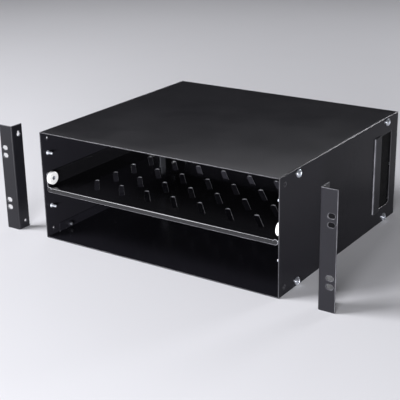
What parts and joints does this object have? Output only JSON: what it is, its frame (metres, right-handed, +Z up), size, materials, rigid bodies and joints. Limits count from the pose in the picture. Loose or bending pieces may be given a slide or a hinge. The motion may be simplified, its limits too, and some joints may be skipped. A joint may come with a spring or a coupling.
{
  "type": "subrack card cage",
  "caption": "Open-fronted rack case with a slotted mid shelf, brushed side cable entries and a pair of loose rack mounting angles.",
  "frame": {"origin": "centre of the case's footprint on the surface that it stands on", "axes": "+X to the right seen from the open front, +Y towards the rear panel, +Z up"},
  "size_m": [0.6026, 0.3926, 0.177],
  "materials": {
    "case_black": "satin fine-textured powder coat",
    "shelf_black": "satin fine-textured powder coat",
    "angle_black": "satin fine-textured powder coat",
    "rail_black": "smooth satin powder coat",
    "zinc": "bright zinc plate",
    "white_moulding": "white moulded plastic",
    "bristle": "black nylon bristle"
  },
  "bodies": {
    "root": {"top_cover": "case_black", "bottom_tray": "case_black", "left_side_wall": "case_black", "right_side_wall": "case_black", "rear_panel": "case_black", "shelf": "shelf_black", "left_side_screws": "zinc", "right_side_screws": "zinc", "top_cover_nuts": "case_black", "bottom_tray_nuts": "case_black", "left_angle_inserts": "case_black", "right_angle_inserts": "case_black", "left_panel_pins": "zinc", "right_panel_pins": "zinc", "left_shelf_studs": "zinc", "right_shelf_studs": "zinc", "left_thumb_nuts": "white_moulding", "right_thumb_nuts": "white_moulding", "left_brush_rail": "rail_black", "right_brush_rail": "rail_black", "left_bristles": "bristle", "right_bristles": "bristle", "left_clamp_bar": "zinc", "right_clamp_bar": "zinc", "left_brush_screws": "zinc", "right_brush_screws": "zinc", "rear_panel_screws": "zinc", "left_rear_nuts": "case_black", "right_rear_nuts": "case_black", "left_mounting_angle": "angle_black", "right_mounting_angle": "angle_black"}
  },
  "joints": []
}
